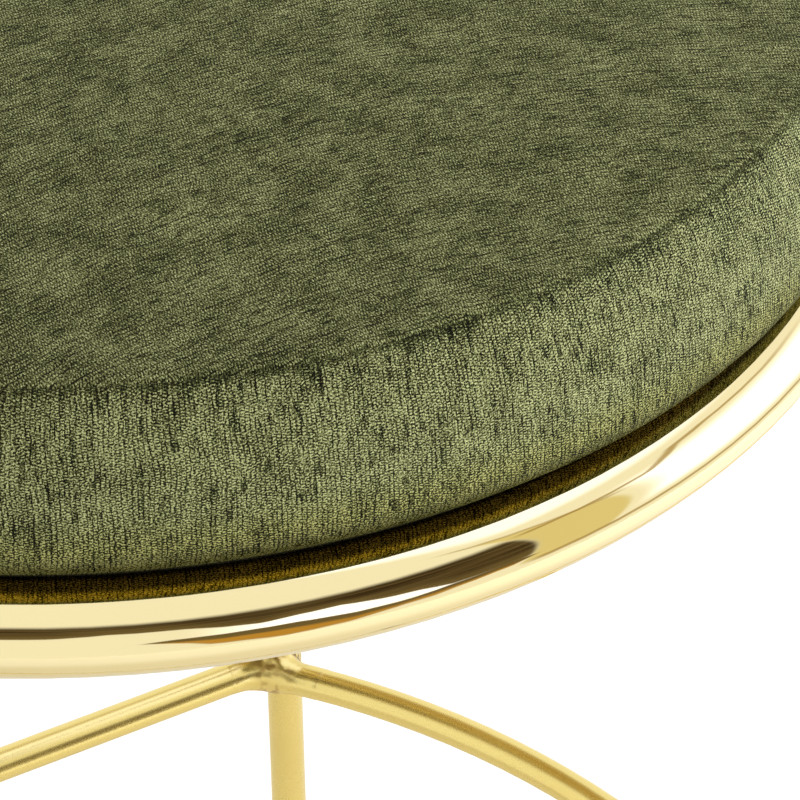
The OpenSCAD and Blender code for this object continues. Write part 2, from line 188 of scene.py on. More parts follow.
class Nodes:
    """Short way to write a node tree: n.add("ShaderNodeMath", ...) with links by name."""

    def __init__(self, tree):
        self.tree = tree
        tree.nodes.clear()

    def add(self, kind, inputs=None, **settings):
        node = self.tree.nodes.new(kind)
        for name, value in settings.items():
            setattr(node, name, value)
        for key, value in (inputs or {}).items():
            self.put(node.inputs[key], value)
        return node

    def put(self, socket, value):
        if isinstance(value, bpy.types.NodeSocket):
            self.tree.links.new(value, socket)
        else:
            socket.default_value = value

    def place(self):
        """Where a point lies on its object, in metres."""
        return self.add("ShaderNodeTexCoord").outputs["Object"]

    def height(self, place):
        return self.add("ShaderNodeSeparateXYZ", {0: place}).outputs["Z"]

    def math(self, operation, a, b=0.0, c=0.0):
        return self.add("ShaderNodeMath", {0: a, 1: b, 2: c}, operation=operation).outputs[0]

    def plus(self, base, value, weight):
        return self.math("MULTIPLY_ADD", value, weight, base)

    def vector(self, operation, a, b=(0.0, 0.0, 0.0)):
        node = self.add("ShaderNodeVectorMath", {0: a, 1: b}, operation=operation)
        gives_number = operation in ("LENGTH", "DISTANCE", "DOT_PRODUCT")
        return node.outputs["Value" if gives_number else "Vector"]

    def ramp(self, value, stops, ease="LINEAR"):
        node = self.add("ShaderNodeValToRGB", {"Fac": value})
        ramp = node.color_ramp
        ramp.interpolation = ease
        while len(ramp.elements) < len(stops):
            ramp.elements.new(1.0)
        for element, (place, colour) in zip(ramp.elements, stops):
            element.position = place
            element.color = opaque(colour)
        return node.outputs["Color"]

    def noise(self, vector, scale, detail=2.0, roughness=0.5):
        node = self.add("ShaderNodeTexNoise",
                        {"Vector": vector, "Scale": scale, "Detail": detail, "Roughness": roughness})
        return node.outputs["Fac"]

    def smooth(self, value, start, stop, low=0.0, high=1.0):
        """From low to high as the value goes from start to stop, with eased ends."""
        node = self.add("ShaderNodeMapRange", {0: value, 1: start, 2: stop, 3: low, 4: high},
                        interpolation_type="SMOOTHSTEP")
        return node.outputs[0]

    def between(self, value, start, stop, soft_start, soft_stop):
        """1 between two places, with eased ends that lie inside them."""
        return self.math("MULTIPLY", self.smooth(value, start, start + soft_start),
                         self.smooth(value, stop - soft_stop, stop, 1.0, 0.0))

    def near(self, value, line, full, none):
        """1 up to a distance from a line, and 0 beyond a larger one."""
        off = self.math("ABSOLUTE", self.math("SUBTRACT", value, line))
        return self.smooth(off, full, none, 1.0, 0.0)

    def stretch(self, vector, scale):
        return self.add("ShaderNodeMapping", {"Vector": vector, "Scale": scale}).outputs["Vector"]

    def mix(self, factor, a, b, blend="MIX"):
        node = self.add("ShaderNodeMix", data_type="RGBA", blend_type=blend)
        self.put(node.inputs[0], factor)
        self.put(node.inputs[6], a)
        self.put(node.inputs[7], b)
        return node.outputs[2]

    def bump(self, height, strength, distance, normal=None):
        inputs = {"Height": height, "Strength": strength, "Distance": distance}
        if normal is not None:
            inputs["Normal"] = normal
        return self.add("ShaderNodeBump", inputs).outputs["Normal"]


def new_material(name):
    material = bpy.data.materials.new(name)
    material.use_nodes = True
    return material, Nodes(material.node_tree)


def close_material(n, **inputs):
    """Ends a material in one Principled shader, with the inputs' names written with underscores."""
    names = {key.replace("_", " "): value for key, value in inputs.items()}
    shader = n.add("ShaderNodeBsdfPrincipled", names)
    n.add("ShaderNodeOutputMaterial", {"Surface": shader.outputs[0]})


def grey(value):
    return (value, value, value)


def opaque(colour, share=1.0):
    """A colour, or a share of it, with full alpha."""
    return (*[c * share for c in colour], 1.0)


def chenille():
    """Chenille woven in brick order. The UV map runs in millimetres, with u along the rows of yarn."""
    material, n = new_material("chenille")
    uv = n.add("ShaderNodeUVMap", uv_map="weave").outputs["UV"]
    place = n.place()
    height = n.height(place)
    side = n.smooth(height, SEAM_Z - 3 * MM, SEAM_Z - 1 * MM, 1.0, 0.0)

    def by_panel(top_value, side_value):
        return n.plus(top_value, side, side_value - top_value)

    cloth = uv
    # Slow sway of the rows, then the unevenness of single tufts, each as a scale and a reach in mm
    for scale, reach in ((0.06, 2.6), (0.9, 0.55)):
        sway = n.add("ShaderNodeTexNoise", {"Vector": uv, "Scale": scale, "Detail": 1.0})
        sway = n.vector("SUBTRACT", sway.outputs["Color"], grey(0.5))
        cloth = n.vector("ADD", cloth, n.vector("MULTIPLY", sway, grey(reach)))
    places = n.add("ShaderNodeSeparateXYZ", {0: cloth})
    along = n.math("MULTIPLY", places.outputs["X"], tau / STITCH_PITCH)
    across = n.math("MULTIPLY", places.outputs["Y"], pi / ROW_PITCH)
    row = n.math("COSINE", across)
    tuft = n.math("MULTIPLY", n.math("COSINE", along), row)
    # The gap between two rows opens for a few stitches, then closes
    gap = n.smooth(n.math("ABSOLUTE", row), 0.10, 0.62, 1.0, 0.0)
    opened = n.noise(n.stretch(cloth, (0.11, 0.9, 1.0)), 1.0, 2.0, 0.6)
    opened = n.ramp(opened, [(0.38, grey(0.0)), (0.62, grey(1.0))])
    gap = n.math("MULTIPLY", gap, n.plus(0.25, opened, 0.75))
    # Cut ends of single fibres, and those that catch the light
    ends = n.noise(n.stretch(uv, (2.3, 1.9, 1.0)), 1.0, 3.0, 0.75)
    sparks = n.noise(n.stretch(uv, (2.9, 2.3, 1.0)), 1.0, 0.0, 0.5)
    sparks = n.ramp(sparks, [(0.60, grey(0.0)), (0.80, grey(1.0))])
    # Slubs, dark and a few stitches long
    slub = n.noise(n.stretch(cloth, (0.17, 0.78, 1.0)), 1.0, 1.0, 0.5)
    slub = n.ramp(slub, [(0.30, grey(1.0)), (0.44, grey(0.0))])
    # Patches of pile that lie one way or the other, large and small
    nap = n.noise(n.stretch(cloth, (0.08, 0.10, 1.0)), 1.0, 4.0, 0.6)
    nap = n.ramp(nap, [(0.3, grey(0.0)), (0.7, grey(1.0))], "EASE")
    crush = n.noise(n.stretch(cloth, (0.34, 0.62, 1.0)), 1.0, 2.0, 0.6)
    # All of these add up to one level, which the tones follow
    fine = n.math("MULTIPLY", n.math("SUBTRACT", ends, 0.5), 2.6)
    fine = n.plus(fine, tuft, 0.17)
    fine = n.plus(fine, n.math("SUBTRACT", gap, 0.22), -0.27)
    level = n.plus(MIDDLE_LEVEL, fine, by_panel(1.05, 1.55))
    level = n.plus(level, sparks, by_panel(0.14, 0.36))
    level = n.plus(level, n.math("MULTIPLY", slub, by_panel(0.15, 0.29)), -1.0)
    level = n.plus(level, n.math("SUBTRACT", crush, 0.5), by_panel(0.34, 0.50))
    level = n.plus(level, n.math("SUBTRACT", nap, 0.5), 0.14)
    # Painted shade: a dark crease along the seam, and just below it the pile in its own shade
    from_axis = n.vector("LENGTH", n.vector("MULTIPLY", place, (1.0, 1.0, 0.0)))
    off = n.add("ShaderNodeCombineXYZ", {0: n.math("SUBTRACT", from_axis, SEAM_R),
                                         1: n.math("SUBTRACT", height, CREASE_Z)})
    crease_shade = n.smooth(n.vector("LENGTH", off.outputs[0]), 0.4 * MM, 1.5 * MM, 1.0, 0.0)
    shade_under_seam = n.math("MULTIPLY", side, n.smooth(height, SEAM_Z - 9 * MM, SEAM_Z - 3 * MM))
    level = n.plus(level, crease_shade, -0.12)
    level = n.plus(level, shade_under_seam, -0.06)
    # Painted light: the side band a little lighter
    level = n.plus(level, side, 0.03)
    colour = n.ramp(level, PILE_TONES)
    # Painted gold light from the ring on the lower edge, and painted shade where it rolls under. The ring
    # mirrors it face on, and there it is painted golden; the camera's own view of it is a grazing one
    facing = n.add("ShaderNodeLayerWeight", {"Blend": 0.5}).outputs["Facing"]
    seen_face_on = n.smooth(facing, 0.25, 0.50, 1.0, 0.0)
    for start, stop, painted_tint, mirror_only in LOWER_EDGE_PAINTED_LIGHT:
        mask = n.smooth(height, WIDEST_Z + start * MM, WIDEST_Z + stop * MM)
        if mirror_only:
            mask = n.math("MULTIPLY", mask, seen_face_on)
        colour = n.mix(mask, colour, opaque(painted_tint), "MULTIPLY")
    relief = n.plus(ends, tuft, 0.25)
    normal = n.bump(relief, 0.9, 0.3 * MM)
    normal = n.bump(nap, 0.4, 0.4 * MM, normal)
    # No shine where the lower edge looks into the ring
    shine = n.smooth(height, WIDEST_Z - 4.5 * MM, WIDEST_Z - 1.0 * MM)
    close_material(n, Base_Color=colour, Roughness=n.plus(0.9, nap, -0.10), Normal=normal,
                   Sheen_Weight=n.math("MULTIPLY", shine, 0.05), Sheen_Roughness=0.35,
                   Sheen_Tint=opaque((0.80, 0.85, 0.45)),
                   Specular_IOR_Level=n.math("MULTIPLY", shine, 0.12))
    return material


def satin_gold():
    """Plated steel with a fine satin grain, and dark brown spots where the footrest is welded to the legs.
    """
    material, n = new_material("satin_gold")
    place = n.place()
    grain = n.noise(place, 2600.0, 3.0, 0.65)
    cloud = n.noise(place, 45.0, 3.0, 0.5)
    # Distance from the nearest of the four joints
    off = n.vector("DISTANCE", n.vector("ABSOLUTE", place), JOINT_PLACE)
    close = n.smooth(off, 10 * MM, 16 * MM, 1.0, 0.0)
    spots = n.ramp(n.noise(place, 260.0, 1.0, 0.5), [(0.36, grey(1.0)), (0.50, grey(0.0))])
    dark_spots = n.math("MULTIPLY", close, n.plus(0.08, spots, 0.75))
    rough = n.plus(n.plus(n.plus(0.20, cloud, 0.06), grain, 0.08), close, 0.08)
    colour = n.mix(cloud, opaque(GOLD_SATIN, 0.94), opaque(GOLD_SATIN))
    colour = n.mix(dark_spots, colour, opaque((0.42, 0.24, 0.06)))
    ripple = n.math("MULTIPLY", close, n.noise(place, 380.0, 1.0, 0.5))
    normal = n.bump(grain, 0.04, 0.04 * MM)
    normal = n.bump(ripple, 0.5, 0.5 * MM, normal)
    close_material(n, Base_Color=colour, Metallic=1.0, Roughness=rough, Normal=normal)
    return material


def polished_gold():
    """Mirror plating with faint buffing waves and hairline marks."""
    material, n = new_material("polished_gold")
    place = n.place()
    wave = n.noise(place, 16.0, 2.0, 0.5)
    hair = n.noise(n.stretch(place, (900.0, 900.0, 40.0)), 1.0, 2.0, 0.5)
    hair = n.ramp(hair, [(0.62, grey(0.0)), (0.72, grey(1.0))])
    rough = n.plus(n.plus(0.035, wave, 0.03), hair, 0.02)
    colour = n.mix(wave, opaque(GOLD_POLISHED, 0.97), opaque(GOLD_POLISHED))
    normal = n.bump(wave, 0.12, 0.3 * MM)
    close_material(n, Base_Color=colour, Metallic=1.0, Roughness=rough, Normal=normal)
    return material


def weld_gold():
    """The same plating over the ripples of a weld bead."""
    material, n = new_material("weld_gold")
    ripple = n.noise(n.place(), 420.0, 2.0, 0.5)
    colour = n.mix(ripple, opaque(GOLD_SATIN, 0.88), opaque(GOLD_SATIN))
    normal = n.bump(ripple, 0.4, 0.25 * MM)
    close_material(n, Base_Color=colour, Metallic=1.0, Roughness=n.plus(0.22, ripple, 0.12),
                   Normal=normal)
    return material


def glide_plastic():
    """Fine-textured black moulding, scuffed towards the floor."""
    material, n = new_material("glide_plastic")
    place = n.place()
    pits = n.noise(place, 3000.0, 2.0, 0.6)
    scuffs = n.noise(n.stretch(place, (250.0, 250.0, 900.0)), 1.0, 3.0, 0.6)
    low = n.add("ShaderNodeMapRange", {0: n.height(place), 1: 0.0, 2: 6 * MM, 3: 1.0, 4: 0.0}).outputs[0]
    worn = n.math("MULTIPLY", low, n.ramp(scuffs, [(0.45, grey(0.0)), (0.7, grey(1.0))]))
    colour = n.mix(worn, opaque((0.018, 0.018, 0.017)), opaque((0.09, 0.088, 0.082)))
    normal = n.bump(pits, 0.3, 0.06 * MM)
    close_material(n, Base_Color=colour, Roughness=n.plus(0.52, worn, 0.2), Normal=normal)
    return material


def zinc_steel():
    """Bright zinc with a soft crystalline tone."""
    material, n = new_material("zinc_steel")
    place = n.place()
    cells = n.add("ShaderNodeTexVoronoi", {"Vector": place, "Scale": 700.0}).outputs["Color"]
    grain = n.noise(place, 2500.0, 2.0, 0.6)
    colour = n.mix(0.25, opaque((0.60, 0.60, 0.59)), cells, "SOFT_LIGHT")
    close_material(n, Base_Color=colour, Metallic=1.0, Roughness=n.plus(0.22, grain, 0.2),
                   Normal=n.bump(grain, 0.15, 0.05 * MM))
    return material


def birch_ply():
    """Plywood: long grain on the faces, dark and pale veneers on the edge."""
    material, n = new_material("birch_ply")
    place = n.place()
    grain = n.noise(n.stretch(place, (12.0, 160.0, 30.0)), 1.0, 5.0, 0.6)
    layer = n.math("SINE", n.math("MULTIPLY", n.height(place), tau / VENEER_PAIR))
    veneer = n.plus(0.5, layer, 0.5)
    colour = n.ramp(grain, [(0.3, (0.42, 0.27, 0.13)), (0.6, (0.60, 0.43, 0.25))])
    colour = n.mix(n.math("MULTIPLY", veneer, 0.35), colour, opaque((0.30, 0.18, 0.08)))
    close_material(n, Base_Color=colour, Roughness=0.62, Normal=n.bump(grain, 0.2, 0.1 * MM))
    return material


def dust_cloth():
    """Black spun non-woven cloth with its grid of bonded points."""
    material, n = new_material("dust_cloth")
    place = n.place()
    fibres = n.noise(n.stretch(place, (900.0, 1400.0, 900.0)), 1.0, 4.0, 0.7)
    dots = n.add("ShaderNodeTexVoronoi", {"Vector": place, "Scale": 900.0}, voronoi_dimensions="2D")
    pits = n.ramp(dots.outputs["Distance"], [(0.15, grey(0.0)), (0.35, grey(1.0))])
    colour = n.mix(fibres, opaque((0.010, 0.010, 0.011)), opaque((0.045, 0.045, 0.048)))
    normal = n.bump(pits, 0.5, 0.1 * MM)
    close_material(n, Base_Color=colour, Roughness=0.85, Normal=normal, Sheen_Weight=0.15)
    return material


def floor_paint():
    """Pale floor that reads as white to the camera and in the metal, and keeps the soft shadow."""
    material, n = new_material("studio_floor")
    place = n.place()
    mottle = n.noise(place, 3.0, 2.0, 0.5)
    from_stool = n.vector("LENGTH", place)
    colour = n.mix(mottle, opaque((0.78, 0.78, 0.77)), opaque((0.80, 0.80, 0.79)))
    # Painted gold light and shade on the floor about the stool: darker and warmer near it
    colour = n.mix(n.smooth(from_stool, 0.35, 0.75, 1.0, 0.0), colour, opaque((0.72, 0.69, 0.60)))
    diffuse = n.add("ShaderNodeBsdfDiffuse", {"Color": colour})
    # Mirrored, the floor brightens away from the stool with a painted glow
    away = n.add("ShaderNodeMapRange", {0: from_stool, 1: 0.45, 2: 0.95, 3: 0.0, 4: FLOOR_GLOW_MIRRORED})
    path = n.add("ShaderNodeLightPath")
    mirrored = n.math("MAXIMUM", path.outputs["Is Glossy Ray"], path.outputs["Is Transmission Ray"])
    glow = n.plus(n.math("MULTIPLY", mirrored, away.outputs[0]), path.outputs["Is Camera Ray"],
                  FLOOR_GLOW_SEEN)
    backdrop_and_painted_glow = n.add("ShaderNodeEmission", {"Color": WHITE, "Strength": glow})
    both = n.add("ShaderNodeAddShader", {0: diffuse.outputs[0], 1: backdrop_and_painted_glow.outputs[0]})
    n.add("ShaderNodeOutputMaterial", {"Surface": both.outputs[0]})
    return material


def mesh_object(name, vertices, faces, material, uv=None):
    """A smooth mesh that rides on the stool, with an optional UV pair for each corner of a face."""
    mesh = bpy.data.meshes.new(name)
    mesh.from_pydata([tuple(v) for v in vertices], [], faces)
    mesh.polygons.foreach_set("use_smooth", [True] * len(mesh.polygons))
    if uv is not None:
        layer = mesh.uv_layers.new(name="weave")
        layer.data.foreach_set("uv", np.asarray(uv, np.float32).ravel())
    mesh.materials.append(material)
    mesh.update()
    piece = bpy.data.objects.new(name, mesh)
    bpy.context.scene.collection.objects.link(piece)
    return piece


def clamped(value):
    """A value held between 0 and 1."""
    return max(0, min(1, value))


def disc_point(u, v):
    """A square grid's point, from -1 to 1, moved to a disc of radius 1 with even cells."""
    if u == 0 and v == 0:
        return 0.0, 0.0
    if abs(u) > abs(v):
        return u * cos(pi / 4 * v / u), u * sin(pi / 4 * v / u)
    return v * sin(pi / 4 * u / v), v * cos(pi / 4 * u / v)


def disc_grid(cells):
    """The points of a disc of radius 1 as a grid, row by row, and its square faces."""
    count = cells + 1
    places = [disc_point(2 * i / cells - 1, 2 * j / cells - 1) for j in range(count) for i in range(count)]
    firsts = [j * count + i for j in range(cells) for i in range(cells)]
    return places, [(a, a + 1, a + count + 1, a + count) for a in firsts]


def crown_height(r):
    return SEAM_Z + CROWN * (1 - (r / SEAM_R) ** CROWN_POWER)


def side_place(s):
    """Radius and height on the side band, s from 0 at the seam to 1 at the widest line."""
    return PAD_R - (PAD_R - SEAM_R) * (1 - s) ** SIDE_POWER, SEAM_Z - (SEAM_Z - WIDEST_Z) * s


def tuck_places():
    """Radius and height round the lower edge, up to the board's corner and along its underside."""
    centre_r = PAD_R - EDGE_R
    to_board = (BOARD_R - centre_r, BOARD_Z - WIDEST_Z)
    under = atan2(to_board[1], to_board[0]) + acos((EDGE_R - CLOTH) / hypot(*to_board))
    places = [(centre_r + EDGE_R * cos(under * s), WIDEST_Z + EDGE_R * sin(under * s))
              for s in np.linspace(0, 1, 11)[1:]]
    places += [(BOARD_R + CLOTH * cos(a), BOARD_Z + CLOTH * sin(a))
               for a in np.linspace(under, -pi / 2, 4)]
    places += [(r, BOARD_Z - CLOTH) for r in np.linspace(BOARD_R - 6 * MM, BOARD_R - HEM_W, 5)]
    return places


def seam_dip(distance):
    """How far the cloth draws in beside the seam, at a distance from it."""
    return SEAM_DEPTH * np.exp(-(distance / SEAM_REACH) ** 1.3)


class Pad:
    """The pad's cover as one grid: an even disc in the middle, then rings out, down and under."""

    def __init__(self):
        self.points = []
        self.faces = []
        self.rows = []
        self.core()
        self.rings()
        self.close()

    def core(self):
        places, self.faces = disc_grid(CORE_CELLS)
        for x, y in places:
            r = hypot(x, y) * CORE_SHARE * SEAM_R
            self.points.append((x * CORE_SHARE * SEAM_R, y * CORE_SHARE * SEAM_R, crown_height(r)))
        # The grid's rim, once round
        count = CORE_CELLS + 1
        edge = list(range(count))
        edge += [j * count + CORE_CELLS for j in range(1, count)]
        edge += [CORE_CELLS * count + i for i in range(CORE_CELLS - 1, -1, -1)]
        edge += [j * count for j in range(CORE_CELLS - 1, 0, -1)]
        self.rows.append(edge)
        self.angles = [atan2(self.points[i][1], self.points[i][0]) for i in edge]

    def ring(self, r, z):
        start = len(self.points)
        self.points += [(r * cos(a), r * sin(a), z) for a in self.angles]
        self.rows.append(list(range(start, start + SEGMENTS)))

    def rings(self):
        for gap in TOP_GAPS:
            r = SEAM_R - gap * MM
            self.ring(r, crown_height(r) - seam_dip(gap * MM))
        self.seam_row = len(self.rows)
        self.ring(SEAM_R - 0.2 * MM, SEAM_Z - 1.0 * MM)
        drop = SEAM_Z - WIDEST_Z
        for gap in SIDE_GAPS:
            r, z = side_place(gap * MM / drop)
            self.ring(r - seam_dip(gap * MM) * 0.8, z - 0.3 * seam_dip(gap * MM))
        for r, z in [side_place(1.0)] + tuck_places():
            self.ring(r, z)

    def close(self):
        for upper, lower in zip(self.rows, self.rows[1:]):
            for k in range(SEGMENTS):
                m = (k + 1) % SEGMENTS
                self.faces.append((upper[k], lower[k], lower[m], upper[m]))
        # A lid over the board's underside, inside the stool, keeps the form closed
        last = self.rows[-1]
        lid = len(self.points)
        self.points.append((0, 0, self.points[last[0]][2]))
        for k in range(SEGMENTS):
            self.faces.append((last[k], lid, last[(k + 1) % SEGMENTS]))

    def weave(self, points):
        """Corner UVs in millimetres: along the rows on the top, and down the band on the side."""
        top_faces = CORE_CELLS ** 2 + self.seam_row * SEGMENTS
        turn = Matrix.Rotation(-WEAVE_TURN, 2)
        side_rows = self.rows[self.seam_row:]
        down = [0.0]
        for upper, lower in zip(side_rows, side_rows[1:]):
            a, b = points[upper[0]], points[lower[0]]
            down.append(down[-1] + (Vector(b) - Vector(a)).length)
        row_of = {member: (row, k) for row, members in enumerate(side_rows)
                  for k, member in enumerate(members)}
        uv = []
        for index, face in enumerate(self.faces):
            if index < top_faces:
                for member in face:
                    x, y = turn @ Vector(points[member][:2]) / MM
                    uv.append((x, y + WEAVE_BOW * x ** 2))
                continue
            # The band's own u runs on across the place where the angle jumps by a whole turn
            first = row_of[face[0]][1]
            for member in face:
                row, k = row_of.get(member, (len(down) - 1, first))
                start = self.angles[first]
                step = (self.angles[k] - start + pi) % tau - pi
                uv.append((down[row] / MM, (start + step) * PAD_R / MM))
        return uv


def cloth_moves(pad):
    """How far each point of the cover moves when it is inflated as cloth, held at its turned edge, with
    the seam sewn a little short."""
    rest = np.array(pad.points)
    mesh = bpy.data.meshes.new("cover_trial")
    mesh.from_pydata([tuple(p) for p in rest], [], pad.faces)
    trial = bpy.data.objects.new("cover_trial", mesh)
    bpy.context.scene.collection.objects.link(trial)
    # A start that is a little uneven, so that the cloth folds
    for vertex, place in zip(mesh.vertices, rest):
        place = Vector(place)
        wander = noise.noise(place * 60) + 0.5 * noise.noise(place * 170)
        vertex.co = place * (1 + 0.0009 * wander)
    held = trial.vertex_groups.new(name="held")
    sewn = trial.vertex_groups.new(name="sewn")
    for row in pad.rows[-HELD_ROWS:]:
        held.add(row, 1.0, "REPLACE")
    held.add([len(rest) - 1], 1.0, "REPLACE")
    for offset, weight in SEWN_ROWS:
        sewn.add(pad.rows[pad.seam_row + offset], weight, "REPLACE")
    modifier = trial.modifiers.new("cloth", "CLOTH")
    modifier.collision_settings.use_collision = False
    cloth = modifier.settings
    cloth.quality = 5
    cloth.mass = 0.3
    cloth.tension_stiffness = 18
    cloth.compression_stiffness = 18
    cloth.shear_stiffness = 8
    cloth.bending_stiffness = 0.6
    cloth.use_pressure = True
    cloth.uniform_pressure_force = 4
    cloth.effector_weights.gravity = 0
    cloth.vertex_group_mass = "held"
    cloth.vertex_group_shrink = "sewn"
    cloth.shrink_min = 0.0
    cloth.shrink_max = 0.05
    scene = bpy.context.scene
    for step in range(CLOTH_STEPS):
        scene.frame_set(step + 1)
    shaped = trial.evaluated_get(bpy.context.evaluated_depsgraph_get()).to_mesh()
    moves = np.array([v.co[:] for v in shaped.vertices]) - rest
    scene.frame_set(1)
    bpy.data.objects.remove(trial)
    return moves


def stray_of(pad):
    """How far the cloth strays at each point from the mean of its ring, or in the core from an even crown,
    of which a share is kept. The rows under the board stay in place."""
    rest = np.array(pad.points)
    moves = cloth_moves(pad)
    stray = np.zeros_like(moves)
    angle = np.arctan2(rest[:, 1], rest[:, 0])
    outward = np.stack([np.cos(angle), np.sin(angle), 0 * angle], 1)
    radial = (moves * outward).sum(1)
    for row in pad.rows:
        stray[row] += (radial[row] - radial[row].mean())[:, None] * outward[row]
        stray[row, 2] += moves[row, 2] - moves[row, 2].mean()
    core = np.arange((CORE_CELLS + 1) ** 2)
    r = np.hypot(rest[core, 0], rest[core, 1])
    crown = np.polyfit(r ** 2, moves[core, 2], 4)
    stray[core, 2] = moves[core, 2] - np.polyval(crown, r ** 2)
    stray[core, :2] = 0
    size = np.linalg.norm(stray, axis=1)
    stray *= STRAY_SHARE * np.minimum(1, STRAY_CAP / np.maximum(size, 1e-9))[:, None]
    for row in pad.rows[-HELD_ROWS:]:
        stray[row] = 0
    stray[-1] = 0
    return stray


def soft_wander(points):
    """Slow hollows and swellings of a hand-stuffed pad, in metres along the radius and up."""
    out = np.zeros((len(points), 3))
    for index, (x, y, z) in enumerate(points):
        if z < BOARD_Z + 2 * MM:
            continue
        slow = noise.noise(Vector((x * 14, y * 14, z * 30)))
        quick = noise.noise(Vector((x * 45, y * 45, z * 12 + 5)))
        if z > SEAM_Z - 1 * MM:
            near_seam = np.exp(-abs(hypot(x, y) - SEAM_R) / (14 * MM))
        else:
            near_seam = np.exp(-(SEAM_Z - z) / (12 * MM))
        push = 0.7 * MM * slow + 0.5 * MM * quick * near_seam
        if z < SEAM_Z - 2 * MM:
            a = atan2(y, x)
            out[index] = (push * cos(a), push * sin(a), 0)
        else:
            out[index] = (0, 0, push * (1 - 0.3 * near_seam))
    return out


def build_pad(fabric):
    """The chenille cover over fibre and foam."""
    pad = Pad()
    points = np.array(pad.points) + soft_wander(pad.points)
    points += stray_of(pad)
    piece = mesh_object("seat_pad", points, pad.faces, fabric, pad.weave(pad.points))
    smooth = piece.modifiers.new("smooth", "SUBSURF")
    smooth.levels = 1
    smooth.render_levels = 1
    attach(piece, "root")
    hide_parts("cover_top", "cover_band", "fibre_wrap", "foam_core", "seam_allowance")


def cut_out(source, centre, reach):
    """The part of a CAD node's mesh in a box about a point, with flat caps where it was cut."""
    form = bmesh.new()
    form.from_mesh(source.data)
    bmesh.ops.remove_doubles(form, verts=form.verts, dist=0.0001 * MM)
    for axis in range(3):
        for side in (-1, 1):
            outward = Vector((0, 0, 0))
            outward[axis] = side
            cut = bmesh.ops.bisect_plane(form, geom=form.verts[:] + form.edges[:] + form.faces[:],
                                         plane_co=centre + outward * reach, plane_no=outward,
                                         clear_outer=True)
            rim = [part for part in cut["geom_cut"] if isinstance(part, bmesh.types.BMEdge)]
            bmesh.ops.holes_fill(form, edges=rim)
    return form


def fused(forms, voxel):
    """One mesh for the union of several closed forms, which it frees."""
    mesh = bpy.data.meshes.new("fused")
    whole = bmesh.new()
    for form in forms:
        form.to_mesh(mesh)
        whole.from_mesh(mesh)
        form.free()
    whole.to_mesh(mesh)
    whole.free()
    trial = bpy.data.objects.new("fused", mesh)
    bpy.context.scene.collection.objects.link(trial)
    remesh = trial.modifiers.new("fuse", "REMESH")
    remesh.mode = "VOXEL"
    remesh.voxel_size = voxel
    out = bpy.data.meshes.new_from_object(trial.evaluated_get(bpy.context.evaluated_depsgraph_get()))
    bpy.data.objects.remove(trial)
    return out


def outside(tree, point):
    """Signed distance from a closed mesh, and the way out of it."""
    place, normal, _, distance = tree.find_nearest(point)
    away = point - place
    side = -1 if away.dot(normal) < 0 else 1
    return side * distance, side * away.normalized() if distance > 1e-7 else normal


def weld_point(point, centre, trees):
    """Moves a point of the fused rods to the skin that blends the leg, the first tree, into the rod."""
    for _ in range(WELD_STEPS):
        (a, way_a), (b, way_b) = (outside(tree, point) for tree in trees)
        # A point this deep in the metal is left where it is
        if min(a, b) < -WELD_DEPTH:
            break
        # The weld runs further along the straight bar than along the arc
        inward = clamped((JOINT_PLACE.x - abs(point.x)) / WELD_CHANGE + 0.5)
        spread = WELD_SPREAD[0] + WELD_SPREAD[1] * inward
        blend = max(spread - abs(a - b), 0) / spread
        lean = 0.5 * blend if a < b else 1 - 0.5 * blend
        way = (way_a * (1 - lean) + way_b * lean).normalized()
        far = (point - centre).length / WELD_REACH
        proud = WELD_PROUD - WELD_DROP * clamped((far - WELD_DROP_FROM) / WELD_DROP_OVER)
        ripple = WELD_RIPPLE * blend * noise.noise(point * 260)
        point = point - way * (min(a, b) - blend ** 2 * spread / 4 - proud - ripple)
    return point


def build_joints(material):
    """The weld at each corner of the footrest, run smoothly into the leg and the rod."""
    points, faces = [], []
    for leg, x, y in (("leg_rear_right", 1, 1), ("leg_rear_left", -1, 1),
                      ("leg_front_right", 1, -1), ("leg_front_left", -1, -1)):
        centre = Vector((x * JOINT_PLACE.x, y * JOINT_PLACE.y, JOINT_PLACE.z))
        rods = [frame["nodes"][name] for name in (leg, "footrest_hoop")]
        trees = [tree_of(rod.data) for rod in rods]
        mesh = fused([cut_out(rod, centre, WELD_REACH) for rod in rods], WELD_VOXEL)
        start = len(points)
        points += [weld_point(vertex.co.copy(), centre, trees) for vertex in mesh.vertices]
        faces += [tuple(start + i for i in polygon.vertices) for polygon in mesh.polygons]
        bpy.data.meshes.remove(mesh)
    piece = mesh_object("footrest_joints", points, faces, material)
    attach(piece, "root")
    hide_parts("leg_footrest_welds")


def dust_place(u, v):
    """A point of the dust cover, from its place on a disc of radius 1."""
    x, y = u * DUST_R, v * DUST_R
    from_edge = DUST_R - hypot(x, y)
    # Distance from the nearest crossbar's middle line, as the bars lie on the diagonals
    from_bar = min(abs(x - y), abs(x + y)) / sqrt(2)
    slack = clamped((from_bar - BAR_HALF) / SAG_FROM_BAR) * clamped(from_edge / SAG_FROM_EDGE)
    slack = slack * slack * (3 - 2 * slack)
    pucker = SHEET_PUCKER * cos(atan2(y, x) * STAPLES) * exp(-from_edge / (9 * MM))
    sag = SHEET_SAG[0] + SHEET_SAG[1] * noise.noise(Vector((x * 28, y * 28, 3)))
    fray = abs(SHEET_PUCKER * noise.noise(Vector((x * 160, y * 160, 7))) * exp(-from_edge / (4 * MM)))
    return x * (1 - fray), y * (1 - fray), dust_low.z - slack * (sag + pucker) - fray


def build_dust_cover(material):
    """Thin black cloth, stapled flat at its edge, that hangs a little between the crossbars."""
    places, faces = disc_grid(SHEET_CELLS)
    piece = mesh_object("dust_sheet", [dust_place(u, v) for u, v in places], faces, material)
    thick = piece.modifiers.new("thickness", "SOLIDIFY")
    thick.thickness = SHEET_THICKNESS
    thick.offset = 1.0
    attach(piece, "root")
    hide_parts("dust_cover")


